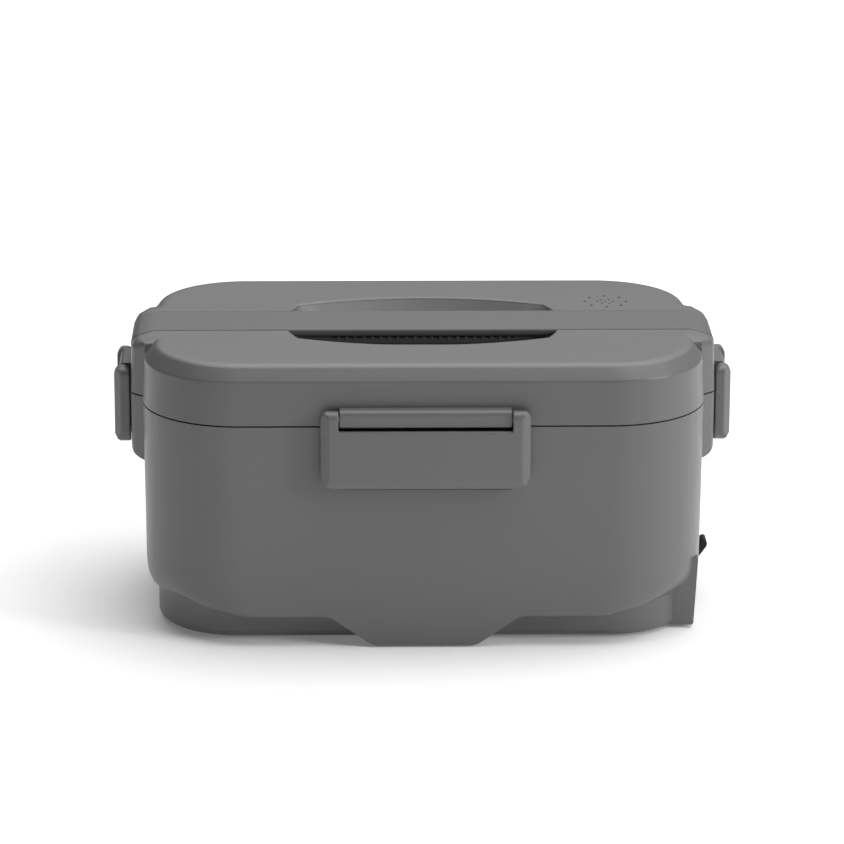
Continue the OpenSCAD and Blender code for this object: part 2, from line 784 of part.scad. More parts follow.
// Bowl with a round rim of radius r, sunk from the lid's top face
module bowl(r, floor_z, top) {
    lean = 9;
    rotate_extrude($fn = 180) polygon(concat([[0, floor_z]],
        bezier([r - lean, floor_z], [r - lean / 4, floor_z], [r - 0.6, top_z - recess_depth / 3], 4),
        [[r, top_z], [r, top], [0, top]]));
}

// Finger recess with long round sides and ends, grown by a distance for the tub that surrounds it
module recess(grow = 0) {
    side_y = recess_side_r - recess_w / 2;
    end_x = recess_l / 2 - recess_end_r;
    floor_z = recess_floor_z - grow;
    top = top_z + (grow > 0 ? 0 : 3);
    intersection() {
        translate([0, side_y, 0]) bowl(recess_side_r + grow, floor_z, top);
        translate([0, -side_y, 0]) bowl(recess_side_r + grow, floor_z, top);
        translate([end_x, 0, 0]) bowl(recess_end_r + grow, floor_z, top);
        translate([-end_x, 0, 0]) bowl(recess_end_r + grow, floor_z, top);
    }
}

// Strap that bridges the recess and wraps down both shoulders
strap_outer = concat(shoulder_curve(shoulder_top_x + strap_proud, strap_z, shoulder_round + strap_proud),
                     [[shoulder_top_x + strap_proud, top_z - strap_drop]]);
strap_inner = concat(shoulder_curve(shoulder_top_x + strap_proud - strap_t, strap_z - strap_t,
                                    shoulder_round + strap_proud - strap_t),
                     [[shoulder_top_x + strap_proud - strap_t, top_z - strap_drop]]);

module strap_groove() {
    x = shoulder_top_x + strap_proud - strap_t;
    z = top_z - strap_drop - seat_gap;
    far = shoulder_x + 5;
    right = concat(shoulder_curve(x, strap_z - strap_t, shoulder_round + strap_proud - strap_t),
                   [[x, z], [far, z], [far, top_z + 5]]);
    along_y(strap_w + 2 * strap_gap) polygon(concat(right, reversed(mirrored(right))));
}

// Bar on a wall of the lid, which carries a latch between its arms
module hinge_bar(l) {
    low = hinge_z - bar_h / 2;
    high = hinge_z + bar_h / 2;
    half = l / 2 - arm_w - bar_gap;
    difference() {
        along_x(2 * half) polygon(concat([[-1.6, low]], arc(bar_out - 1.2, low + 1.2, 1.2, -90, 0, 3),
                                         arc(bar_out - 2.2, high - 2.2, 2.2, 0, 90, 5), [[-1.6, high]]));
        for (sx = [-1, 1]) translate([sx * (half + 1), hinge_out, hinge_z]) rotate([0, -90 * sx, 0])
            cylinder(r = stub_r + run_gap, h = stub_l + 1 + seat_gap - bar_gap);
    }
}

module vent_holes() {
    translate([vent_x, vent_y, top_z - wall - 1]) {
        for (i = [0:7]) rotate(45 * i) translate([vent_ring_r, 0, 0]) cylinder(d = vent_hole_d, h = wall + 2);
        for (i = [0:5]) rotate(60 * i) translate([vent_inner_r, 0, 0])
            cylinder(d = vent_inner_d, h = wall + 2);
        cylinder(d = vent_inner_d, h = wall + 2);
    }
}

module lid_shell() {
    pad_z = strap_z - strap_t - pad_t;
    color("gray") difference() {
        union() {
            lid_rim();
            for (turn = [0, 180]) rotate(turn) lid_shoulder();
            recess(wall);
            // Thicker roof under the strap, and pads for its screws
            for (turn = [0, 180]) rotate(turn) translate([under_x, -under_w / 2, strap_z - strap_t - under_t])
                cube([flat_x - 1 - under_x, under_w, roof_z - strap_z + strap_t + under_t + 0.5]);
            for (sx = [-1, 1]) translate([sx * pad_x - pad_l / 2, -under_w / 2, pad_z])
                cube([pad_l, under_w, roof_z - pad_z + 0.5]);
            // Posts that the inner lid is staked to
            for (p = post_places) translate([p[0], p[1], inner_lid_top])
                cylinder(r = post_r, h = roof_z - inner_lid_top + 0.5);
            // Chimney between the vent and the valve
            translate([vent_x, vent_y, inner_lid_top])
                cylinder(r = chimney_r, h = roof_z - inner_lid_top + 0.5);
            on_front() hinge_bar(latch_l);
            on_rear() hinge_bar(latch_l);
            on_left() hinge_bar(side_latch_l);
            on_right() hinge_bar(side_latch_l);
        }
        recess();
        strap_groove();
        translate([vent_x, vent_y, inner_lid_top - 1])
            cylinder(r = chimney_r - 1.8, h = roof_z - inner_lid_top + 1);
        vent_holes();
        for (p = handle_screw_places) translate([p[0], p[1], pad_z - 1]) {
            cylinder(d = screw_d + 2 * run_gap, h = pad_t + 2);
            translate([0, 0, 1 + pad_t - strap_boss_h])
                cylinder(d = strap_boss_d + 0.2, h = strap_boss_h + 1);
        }
    }
}

module lid_liner() {
    color("whitesmoke") difference() {
        union() {
            translate([0, 0, inner_lid_z]) linear_extrude(inner_lid_t) core_rect(u_in - 1.2);
            // Walls of the seal's channel
            for (u = [seal_in_u - seal_fit - 1.3, seal_in_u + seal_w + seal_fit]) swept()
                translate([u, seal_z + 1.3]) square([1.3, seal_h - 0.7]);
        }
        translate([vent_x, vent_y, inner_lid_z - 1]) cylinder(r = valve_r + run_gap, h = inner_lid_t + 2);
    }
}

module lid_seal() {
    u = seal_in_u;
    z = seal_z;
    w = seal_w;
    top = seal_z + seal_h;
    color("lightgray") swept() polygon([[u, top], [u, z + 1], [u + 0.6, z], [u + w / 2 - 0.4, z],
                                        [u + w / 2, z + 0.8], [u + w / 2 + 0.4, z], [u + w - 0.6, z],
                                        [u + w, z + 1], [u + w, top]]);
}

module steam_valve() {
    color("lightgray") translate([vent_x, vent_y, 0]) {
        translate([0, 0, inner_lid_top]) cylinder(r1 = valve_r + 2.4, r2 = valve_r, h = 1.4);
        translate([0, 0, inner_lid_z - 0.5]) cylinder(r = valve_r, h = inner_lid_t + 1);
        translate([0, 0, inner_lid_z - 1.2]) cylinder(r = valve_r + 1.6, h = 1.2);
    }
}

module carry_handle() {
    z = strap_z - strap_t;
    color("gray") difference() {
        union() {
            along_y(strap_w) polygon(concat(strap_outer, reversed(strap_inner), mirrored(strap_inner),
                                            reversed(mirrored(strap_outer))));
            for (p = handle_screw_places) translate([p[0], p[1], z - strap_boss_h])
                cylinder(d = strap_boss_d, h = strap_boss_h + 0.5);
        }
        for (p = concat(handle_screw_places, grip_screw_places)) translate([p[0], p[1], z - strap_boss_h - 1])
            cylinder(d = screw_d + 2 * run_gap, h = strap_boss_h + 1 + strap_bite + 0.1);
    }
}

// Grip under the strap, with a row of half-round notches along both upper edges
module handle_grip() {
    top = strap_z - strap_t;
    half = strap_w / 2 - grip_back;
    low = top - grip_t;
    row = (notch_count - 1) * notch_pitch;
    color([0.3, 0.3, 0.3]) difference() {
        along_x(grip_l) polygon(concat([[-half, top]], arc(-half + 1.6, low + 1.6, 1.6, 180, 270, 4),
                                       arc(half - 1.6, low + 1.6, 1.6, 270, 360, 4), [[half, top]]));
        for (sy = [-1, 1], i = [0:notch_count - 1])
            translate([i * notch_pitch - row / 2, sy * half, top - 0.9]) cylinder(r = 0.9, h = 2, $fn = 24);
        for (p = grip_screw_places) translate([p[0], p[1], low - 1]) {
            cylinder(d = screw_d + 2 * run_gap, h = grip_t + 2);
            cylinder(d = screw_head_d + 0.4, h = 1 + screw_head_h + 0.3);
        }
    }
}

module handle_screws() {
    z = strap_z - strap_t - pad_t;
    color("silver") for (p = handle_screw_places) translate([p[0], p[1], z]) {
        translate([0, 0, -1.6]) cylinder(d = screw_head_d, h = 1.6);
        cylinder(d = screw_d, h = pad_t + strap_bite);
    }
}

module grip_screws() {
    z = strap_z - strap_t - grip_t + 0.3;
    color("silver") for (p = grip_screw_places) translate([p[0], p[1], z]) {
        cylinder(d = screw_head_d, h = screw_head_h);
        cylinder(d = screw_d, h = grip_t - 0.3 + strap_bite);
    }
}

// ---------------------------------------------------------------- latches

function rib_l(l) = l - 2 * arm_w - 4;

// Outline of a latch seen from the front, between two heights
module latch_face(l, foot, top) {
    half = l / 2;
    translate([-half, foot + latch_r]) square([l, top - arm_round - foot - latch_r]);
    translate([latch_r - half, foot]) square([l - 2 * latch_r, latch_r]);
    translate([arm_round - half, top - arm_round]) square([l - 2 * arm_round, arm_round]);
    for (sx = [-1, 1]) {
        translate([sx * (half - latch_r), foot + latch_r]) circle(latch_r);
        translate([sx * (half - arm_round), top - arm_round]) circle(arm_round);
    }
}

// Latch, drawn with X along the wall and Y outwards: a bevelled plate between two arms that turn on the bar
module latch(l) {
    half = l / 2;
    gap = half - arm_w;
    in = hinge_out - arm_top_r;
    foot = latch_foot_z;
    top = hinge_z + arm_top_r;
    back = latch_out - latch_t;
    nose = catch_out - hook_bite;
    color("gray") {
        difference() {
            intersection() {
                translate([0, latch_out / 2 + 0.5, 0]) along_y(latch_out + 1) latch_face(l, foot, top);
                translate([0, 0, foot - 1]) linear_extrude(top - foot + 2)
                    polygon([[-half, -1], [half, -1], [half, latch_out - latch_bevel_d],
                             [half - latch_bevel_w, latch_out], [latch_bevel_w - half, latch_out],
                             [-half, latch_out - latch_bevel_d]]);
                along_x(l + 2) union() {
                    translate([hinge_out, hinge_z]) circle(arm_top_r);
                    polygon([[in, hinge_z], [latch_out, hinge_z], [latch_out, foot + latch_foot_h],
                             [latch_out - foot_bevel_d, foot], [in, foot]]);
                }
            }
            translate([-gap, -2, latch_plate_z]) cube([2 * gap, latch_out + 4, top]);
            translate([-gap, -2, foot - 1]) cube([2 * gap, back + 2, latch_plate_z - foot + 2]);
        }
        along_x(2 * gap) polygon([[back + 0.5, hook_z - 4.5], [back, hook_z - 4.2], [nose, hook_z - 1.4],
                                  [nose, hook_z], [back + 0.5, hook_z]]);
        for (sx = [-1, 1]) translate([sx * (gap + 0.5), hinge_out, hinge_z]) rotate([0, -90 * sx, 0])
            cylinder(r = stub_r, h = stub_l + 0.5);
    }
}

module front_latch() { on_front() latch(latch_l); }
module rear_latch() { on_rear() latch(latch_l); }
module left_latch() { on_left() latch(side_latch_l); }
module right_latch() { on_right() latch(side_latch_l); }

outer_body();
bottom_cover();
base_screws();
rubber_feet();
chamber_liner();
plate_gasket();
heating_plate();
plate_nuts();
ptc_heater();
heater_clamp();
clamp_screws();
thermostat();
thermal_fuse();
power_inlet();
inlet_pins();
inlet_cover();
live_lead();
neutral_lead();
link_lead();
food_tray();
lid_shell();
lid_liner();
lid_seal();
steam_valve();
carry_handle();
handle_grip();
handle_screws();
grip_screws();
front_latch();
rear_latch();
left_latch();
right_latch();
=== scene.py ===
import bpy
import bmesh
import math
from mathutils import Matrix, Vector


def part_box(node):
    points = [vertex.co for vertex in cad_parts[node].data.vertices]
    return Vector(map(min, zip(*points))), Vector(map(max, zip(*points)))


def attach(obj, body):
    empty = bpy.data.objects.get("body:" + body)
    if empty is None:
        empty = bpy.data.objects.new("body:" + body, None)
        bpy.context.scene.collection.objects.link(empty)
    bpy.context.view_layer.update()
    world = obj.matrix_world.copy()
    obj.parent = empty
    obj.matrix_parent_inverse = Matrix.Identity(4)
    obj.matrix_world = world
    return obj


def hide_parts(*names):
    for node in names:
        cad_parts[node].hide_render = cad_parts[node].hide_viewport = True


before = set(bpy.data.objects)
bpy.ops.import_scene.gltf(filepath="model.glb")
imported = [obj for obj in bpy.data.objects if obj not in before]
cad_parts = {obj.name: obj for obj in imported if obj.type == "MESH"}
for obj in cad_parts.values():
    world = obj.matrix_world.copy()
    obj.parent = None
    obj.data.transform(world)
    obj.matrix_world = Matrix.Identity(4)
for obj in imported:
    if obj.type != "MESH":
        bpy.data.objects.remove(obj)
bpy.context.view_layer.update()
mm = 0.001


def hexLinear(code):
    # sRGB hex to linear red, green, blue and alpha
    values = [int(code[i:i + 2], 16) / 255 for i in (1, 3, 5)]
    return [v / 12.92 if v <= 0.04045 else ((v + 0.055) / 1.055) ** 2.4 for v in values] + [1.0]


def addNode(tree, kind, settings=None, links=None):
    # settings by attribute, input name or input number; links as input -> output socket
    node = tree.nodes.new(kind)
    for key, value in (settings or {}).items():
        if isinstance(key, str) and hasattr(node, key) and key not in node.inputs:
            setattr(node, key, value)
        else:
            node.inputs[key].default_value = value
    for key, socket in (links or {}).items():
        tree.links.new(socket, node.inputs[key])
    return node


def newMaterial(name, shader):
    material = bpy.data.materials.new(name)
    material.use_nodes = True
    material.node_tree.nodes.clear()
    tree = material.node_tree
    bsdf = addNode(tree, "ShaderNodeBsdfPrincipled", shader)
    addNode(tree, "ShaderNodeOutputMaterial", links={"Surface": bsdf.outputs[0]})
    place = addNode(tree, "ShaderNodeTexCoord").outputs["Object"]
    return material, tree, bsdf, place


# Materials, each with its pattern worked out from a size in millimetres

def mouldedPlastic(name, look):
    # injection-moulded plastic with a spark-eroded satin grain:
    # a dull sheen and faint mottling
    base = hexLinear(look["colour"])
    darker, lighter = ([c * (1 + sign * look["mottle"]) for c in base[:3]] + [1] for sign in (-1, 1))
    smoother, rougher = look["sheenSpread"]
    material, tree, bsdf, place = newMaterial(name, {"IOR": 1.46})
    fine = addNode(tree, "ShaderNodeTexNoise",
                   {"Scale": 1000 / look["grainMm"], "Detail": 2.0, "Roughness": 0.6}, {"Vector": place})
    broad = addNode(tree, "ShaderNodeTexNoise",
                    {"Scale": 1000 / look["mottleMm"], "Detail": 3.0}, {"Vector": place})
    tone = addNode(tree, "ShaderNodeMix", {"data_type": "RGBA", 6: darker, 7: lighter}, {0: broad.outputs["Fac"]})
    sheen = addNode(tree, "ShaderNodeMapRange",
                    {"To Min": look["roughness"] - smoother, "To Max": look["roughness"] + rougher},
                    {"Value": broad.outputs["Fac"]})
    grain = addNode(tree, "ShaderNodeBump",
                    {"Strength": look["grainStrength"], "Distance": look["grainDepthMm"] * mm},
                    {"Height": fine.outputs["Fac"]})
    tree.links.new(tone.outputs[2], bsdf.inputs["Base Color"])
    tree.links.new(sheen.outputs[0], bsdf.inputs["Roughness"])
    tree.links.new(grain.outputs[0], bsdf.inputs["Normal"])
    return material


brushing = {"glossSpread": (0.08, 0.1), "lineStrength": 0.25, "lineDepthMm": 0.02}


def brushedMetal(name, look):
    # metal with the marks of its making: fine streaks along one axis that stretch the highlight
    smoother, rougher = brushing["glossSpread"]
    material, tree, bsdf, place = newMaterial(name, {"Metallic": 1.0, "Base Color": hexLinear(look["colour"])})
    turn = addNode(tree, "ShaderNodeMapping", {"Scale": [1000 / v for v in look["streakMm"]]}, {"Vector": place})
    streak = addNode(tree, "ShaderNodeTexNoise", {"Scale": 1.0, "Detail": 3.0}, {"Vector": turn.outputs[0]})
    gloss = addNode(tree, "ShaderNodeMapRange",
                    {"To Min": look["roughness"] - smoother, "To Max": look["roughness"] + rougher},
                    {"Value": streak.outputs["Fac"]})
    lines = addNode(tree, "ShaderNodeBump",
                    {"Strength": brushing["lineStrength"], "Distance": brushing["lineDepthMm"] * mm},
                    {"Height": streak.outputs["Fac"]})
    tree.links.new(gloss.outputs[0], bsdf.inputs["Roughness"])
    tree.links.new(lines.outputs[0], bsdf.inputs["Normal"])
    return material


rubberSkin = {"dustMm": 7.0, "dustGain": 1.25, "dustLift": 0.004, "pebbleMm": 0.6, "pebbleStrength": 0.15,
              "pebbleDepthMm": 0.04}


def softRubber(name, look):
    # rubber or silicone: dull and slightly dusty, with a fine pebbled skin
    base = hexLinear(look["colour"])
    dusty = [min(1, c * rubberSkin["dustGain"] + rubberSkin["dustLift"]) for c in base[:3]] + [1]
    material, tree, bsdf, place = newMaterial(name, {"IOR": 1.42, "Roughness": look["roughness"]})
    dust = addNode(tree, "ShaderNodeTexNoise", {"Scale": 1000 / rubberSkin["dustMm"], "Detail": 4.0},
                   {"Vector": place})
    tone = addNode(tree, "ShaderNodeMix", {"data_type": "RGBA", 6: base, 7: dusty}, {0: dust.outputs["Fac"]})
    pebble = addNode(tree, "ShaderNodeTexVoronoi", {"Scale": 1000 / rubberSkin["pebbleMm"]}, {"Vector": place})
    skin = addNode(tree, "ShaderNodeBump",
                   {"Strength": rubberSkin["pebbleStrength"], "Distance": rubberSkin["pebbleDepthMm"] * mm},
                   {"Height": pebble.outputs["Distance"]})
    tree.links.new(tone.outputs[2], bsdf.inputs["Base Color"])
    tree.links.new(skin.outputs[0], bsdf.inputs["Normal"])
    return material


# the real grain is about 0.15 mm and too fine to show, so it is drawn coarser
satin = {"roughness": 0.36, "sheenSpread": (0.04, 0.05), "grainMm": 0.55, "grainStrength": 0.14,
         "grainDepthMm": 0.05, "mottleMm": 30, "mottle": 0.02}
materials = {
    # polypropylene with a fine eroded grain: the grey satin look of the whole outside
    "shellPlastic": mouldedPlastic("satinMouldedPolypropylene", satin | {"colour": "#6a6a6b"}),
    # the strap has a coarser eroded grain, and its colour is set a shade darker than the shell's
    "strapPlastic": mouldedPlastic("grainedStrapPolypropylene", satin | {
        "colour": "#616162", "roughness": 0.5, "grainMm": 0.8, "grainStrength": 0.2}),
    # the grip is duller still, and its colour is painted darker than the shell's: painted shade for the shadow it
    # sits in under the strap
    "gripPlastic": mouldedPlastic("grainedGripPlasticPaintedShade", satin | {"colour": "#5a5a5b", "roughness": 0.55}),
    # polished moulds leave the chamber and the inner lid smooth, pale and easy to wipe
    "linerPlastic": mouldedPlastic("glossPolypropyleneLiner", satin | {
        "colour": "#c9c8c4", "roughness": 0.3, "grainStrength": 0.05}),
    "lidInner": mouldedPlastic("foodSafeInnerLid", satin | {
        "colour": "#e4e3de", "roughness": 0.28, "grainStrength": 0.04}),
    # heat-proof nylon: near black with a soft sheen
    "socketPlastic": mouldedPlastic("blackHeatProofNylon", satin | {"colour": "#151515", "roughness": 0.4}),
    # pressed phenolic resin: brown and slightly glossy
    "phenolic": mouldedPlastic("brownPhenolicResin", satin | {"colour": "#4a2618", "roughness": 0.25}),
    # deep-drawn sheet brushed along its length: long soft streaks
    "traySteel": brushedMetal("brushedStainlessSteel", {
        "colour": "#c8c8c6", "roughness": 0.3, "streakMm": (40, 0.5, 0.5)}),
    # cast and satin-finished aluminium: an even, cloudy grey
    "plateAluminium": brushedMetal("satinCastAluminium", {
        "colour": "#cfd0d2", "roughness": 0.42, "streakMm": (3, 3, 3)}),
    # barrel-plated screws: bright, with a fine even haze
    "zincSteel": brushedMetal("zincPlatedSteel", {"colour": "#c2c5c8", "roughness": 0.28, "streakMm": (1, 1, 1)}),
    # rolled strip, left blank: darker, with streaks across the box
    "springSteel": brushedMetal("blankSpringSteel", {
        "colour": "#8d8f92", "roughness": 0.35, "streakMm": (0.4, 20, 0.4)}),
    # turned or drawn brass: a warm shine with fine lines
    "turnedBrass": brushedMetal("turnedBrass", {
        "colour": "#d8b468", "roughness": 0.25, "streakMm": (0.3, 0.3, 8)}),
    # soft black rubber of the feet and the inlet's cover: nearly without sheen
    "blackRubber": softRubber("blackMouldedRubber", {"colour": "#131313", "roughness": 0.62}),
    # silicone of the seal and the valve: pale and waxy; the gasket's is dyed red
    "silicone": softRubber("translucentGreySilicone", {"colour": "#c4c3be", "roughness": 0.45}),
    "redSilicone": softRubber("redSiliconeGasket", {"colour": "#8d2a20", "roughness": 0.5}),
    # extruded insulation in the leads' usual colours: a low waxy sheen
    "brownWire": softRubber("brownWireInsulation", {"colour": "#5a3018", "roughness": 0.4}),
    "blueWire": softRubber("blueWireInsulation", {"colour": "#2a56b4", "roughness": 0.4}),
    "redWire": softRubber("redWireInsulation", {"colour": "#a52420", "roughness": 0.4}),
}
print("materials:", len(materials))

# Camera, light and floor: the camera in millimetres and degrees, the lights in metres and watts
view = {"place": (-32.2, -1602.6, 550.8), "target": (0.05, 0, 69.8), "turn": 0.16,
        "focalPixels": 4256, "imagePixels": 844, "sensorMm": 36}
cameraData = bpy.data.cameras.new("camera")
cameraData.sensor_width = view["sensorMm"]
cameraData.lens = view["focalPixels"] / view["imagePixels"] * view["sensorMm"]
camera = bpy.data.objects.new("camera", cameraData)
camera.location = Vector(view["place"]) * mm
aim = (Vector(view["target"]) * mm - camera.location).to_track_quat("-Z", "Y").to_matrix()
camera.rotation_euler = (aim @ Matrix.Rotation(math.radians(view["turn"]), 3, "Z")).to_euler()
bpy.context.scene.collection.objects.link(camera)
bpy.context.scene.camera = camera

studio = {
    "world": 0.01, "aim": (0, 0, 0.06),
    "key": {"place": (1.2, -0.5, 1.6), "size": (1.5, 1.5), "energy": 10},
    "top": {"place": (0.3, 0.5, 2.6), "size": (3.2, 3.2), "energy": 92},
    "right": {"place": (2.05, -0.95, 0.86), "size": (0.45, 0.7), "energy": 19},
    "rear": {"place": (0.3, 2.4, 1.6), "size": (2.4, 1.4), "energy": 10},
}


def areaLight(name, light):
    data = bpy.data.lights.new(name, "AREA")
    data.shape = "RECTANGLE"
    data.size, data.size_y = light["size"]
    data.energy = light["energy"]
    lamp = bpy.data.objects.new(name, data)
    lamp.location = light["place"]
    lamp.rotation_euler = (Vector(studio["aim"]) - Vector(light["place"])).to_track_quat("-Z", "Y").to_euler()
    bpy.context.scene.collection.objects.link(lamp)


for side in ("key", "top", "right", "rear"):
    areaLight(side + "Box", studio[side])

world = bpy.data.worlds.new("studioWorld")
world.use_nodes = True
world.node_tree.nodes["Background"].inputs["Color"].default_value = (1, 1, 1, 1)
world.node_tree.nodes["Background"].inputs["Strength"].default_value = studio["world"]
bpy.context.scene.world = world
bpy.context.scene.view_settings.view_transform = "Standard"
bpy.context.scene.view_settings.look = "None"


paperSheet = {"half": 6.0, "roughness": 0.9, "gloss": 0.1, "glow": 0.13, "fibreMm": 125, "tone": (0.93, 0.95)}


def makeFloor():
    # matt white paper on a light table, which lifts the shadows a little
    half = paperSheet["half"]
    mesh = bpy.data.meshes.new("studioFloor")
    mesh.from_pydata([(-half, -half, 0), (half, -half, 0), (half, half, 0), (-half, half, 0)], [], [(0, 1, 2, 3)])
    floor = bpy.data.objects.new("studioFloor", mesh)
    bpy.context.scene.collection.objects.link(floor)
    paper, tree, bsdf, place = newMaterial("mattWhitePaper", {
        "Roughness": paperSheet["roughness"], "Specular IOR Level": paperSheet["gloss"],
        "Emission Color": (1, 1, 1, 1), "Emission Strength": paperSheet["glow"]})
    fibre = addNode(tree, "ShaderNodeTexNoise", {"Scale": 1000 / paperSheet["fibreMm"], "Detail": 2.0},
                    {"Vector": place})
    tone = addNode(tree, "ShaderNodeMapRange", {"To Min": paperSheet["tone"][0], "To Max": paperSheet["tone"][1]},
                   {"Value": fibre.outputs["Fac"]})
    tree.links.new(tone.outputs[0], bsdf.inputs["Base Color"])
    mesh.materials.append(paper)


makeFloor()
print("studio ready")


def linkPiece(name, mesh, material, body, nodes=()):
    # a finished piece at the origin, riding on its body, in place of the nodes it stands for
    piece = bpy.data.objects.new(name, mesh)
    bpy.context.scene.collection.objects.link(piece)
    mesh.materials.clear()
    mesh.materials.append(materials[material])
    for node in nodes:
        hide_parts(node)
    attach(piece, body)
    return piece


edgeForm = {"creaseAngle": 28, "segments": 3, "faceWeight": 60}


def softEdges(piece, radius, clamp=True):
    # smooth shading, sharp where faces meet at more than the crease angle,
    # with a small radius in millimetres rolled over those edges
    crease = math.radians(edgeForm["creaseAngle"])
    for face in piece.data.polygons:
        face.use_smooth = True
    piece.data.set_sharp_from_angle(angle=crease)
    if radius:
        bevel = piece.modifiers.new("edgeRadius", "BEVEL")
        bevel.width = radius * mm
        bevel.segments = edgeForm["segments"]
        bevel.limit_method = "ANGLE"
        bevel.angle_limit = crease
        bevel.miter_outer = "MITER_ARC"
        bevel.use_clamp_overlap = clamp
    even = piece.modifiers.new("evenNormals", "WEIGHTED_NORMAL")
    even.weight = edgeForm["faceWeight"]
    even.keep_sharp = True


# cosines that tell an edge's two faces apart, and how far out from the middle the recess's rim reaches
strapPick = {"flank": 0.95, "face": 0.3}
rimPick = {"flatTop": 0.995, "wall": 0.7, "reach": (56, 36)}


def strapEdge(edge):
    # long edges between the strap's flanks and its faces
    first, second = sorted(abs(face.normal.y) for face in edge.link_faces)
    return second > strapPick["flank"] and first < strapPick["face"]


def recessRim(edge):
    # edges where the lid's flat top breaks into the finger recess
    lower, upper = sorted(face.normal.z for face in edge.link_faces)
    middle = (edge.verts[0].co + edge.verts[1].co) / 2
    reachX, reachY = rimPick["reach"]
    return (upper > rimPick["flatTop"] and lower < rimPick["wall"]
            and abs(middle.x) < reachX * mm and abs(middle.y) < reachY * mm)


# all in millimetres: the recess's plan and depth, the lean of its walls, where the strap's groove keeps them
# upright, and the slack with which a wall's points are told from the others
recessForm = {"sideRadius": 118, "halfWidth": 35, "endRadius": 60, "halfLength": 53.5, "depth": 18.4,
              "rimDrop": 0.9, "slopeDepth": 6.1, "slopeIn": 4.3, "clearFrom": 16, "clearTo": 21,
              "sideSlack": 0.5, "topSlack": 0.3, "floorSlack": 0.1, "cornerSlack": 0.05, "wallBand": 9.5}
wallPick = {"upright": 0.6, "facing": 0.1, "level": 0.5, "leastLean": 0.08}  # cosines, and a share of slopeIn


def slopeRecess(work, top):
    # the recess is dished: its side walls lean inwards like the bevel of the rim, clear of the strap
    form = {key: value * mm for key, value in recessForm.items()}
    near, far = form["clearFrom"], form["clearTo"]

    def besideStrap(face, slack):
        middle = face.calc_center_median()
        return abs(middle.x) < form["halfLength"] and near < abs(middle.y) < form["halfWidth"] + slack

    wall = [face for face in work.faces
            if besideStrap(face, form["sideSlack"]) and abs(face.normal.z) < wallPick["upright"]]
    # dictionary keys keep their order, so that each run cuts the walls in the same way
    edges = list(dict.fromkeys(edge for face in wall for edge in face.edges))
    verts = list(dict.fromkeys(vert for face in wall for vert in face.verts))
    bmesh.ops.bisect_plane(work, geom=wall + edges + verts, dist=1e-6, plane_no=(0, 0, 1),
                           plane_co=(0, 0, top - form["rimDrop"]))
    moved = {}
    for face in work.faces:
        if not besideStrap(face, 0):
            continue
        for vert in face.verts:
            spot = vert.co
            depth = top - spot.z
            if not form["topSlack"] < depth < form["depth"] + form["floorSlack"]:
                continue
            # the nearer of the side's and the end's arcs gives the direction, or both of them in a corner
            sideHub = Vector((0, -math.copysign(form["sideRadius"] - form["halfWidth"], spot.y), 0))
            endHub = Vector((-math.copysign(form["endRadius"] - form["halfLength"], spot.x), 0, 0))
            flat = Vector((spot.x, spot.y, 0))
            fromSide, fromEnd = flat - sideHub, flat - endHub
            gapSide, gapEnd = form["sideRadius"] - fromSide.length, form["endRadius"] - fromEnd.length
            inward = -(fromSide.normalized() if gapSide < gapEnd else fromEnd.normalized())
            if abs(gapSide - gapEnd) < form["cornerSlack"]:
                inward = -(fromSide.normalized() + fromEnd.normalized())
            turnedAway = face.normal.dot(inward) < wallPick["facing"] and face.normal.z < wallPick["level"]
            if turnedAway or min(gapSide, gapEnd) > form["wallBand"]:
                continue
            down = min(1, (depth - form["rimDrop"]) / (form["slopeDepth"] - form["rimDrop"]))
            clear = min(1, max(0, (abs(spot.y) - near) / (far - near)))
            moved[vert] = inward * form["slopeIn"] * (max(wallPick["leastLean"], down) * clear)
    for vert, step in moved.items():
        vert.co += step
    print("recess points leaned in:", len(moved))


# edges with a radius of their own, in millimetres
ownRadii = {"carry_handle": (strapEdge, 1.2), "lid_shell": (recessRim, 0.8)}
cleaning = {"mergeMm": 0.002, "collapseMm": 0.004, "flatAngle": 0.4, "ownSegments": 5}


def dressNode(node, body, material, radius):
    # a merged copy of the solid's surface, with the radius in millimetres that the mould leaves on its edges
    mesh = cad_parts[node].data.copy()
    work = bmesh.new()
    work.from_mesh(mesh)
    bmesh.ops.remove_doubles(work, verts=work.verts, dist=cleaning["mergeMm"] * mm)
    bmesh.ops.dissolve_degenerate(work, dist=cleaning["collapseMm"] * mm, edges=work.edges)
    bmesh.ops.dissolve_limit(work, angle_limit=math.radians(cleaning["flatAngle"]), verts=work.verts,
                             edges=work.edges)
    if node == "lid_shell":
        work.normal_update()
        slopeRecess(work, max(vert.co.z for vert in work.verts))
    if node in ownRadii:
        test, wide = ownRadii[node]
        work.normal_update()
        picked = [edge for edge in work.edges if len(edge.link_faces) == 2 and test(edge)]
        bmesh.ops.bevel(work, geom=picked, offset=wide * mm, offset_type="OFFSET", profile=0.5,
                        segments=cleaning["ownSegments"], affect="EDGES", clamp_overlap=False)
        print(node, "edges rounded:", len(picked))
    work.to_mesh(mesh)
    work.free()
    piece = linkPiece(node + "Surface", mesh, material, body, [node])
    softEdges(piece, radius, clamp="latch" not in node)  # the latches' short facets would clamp it to nothing


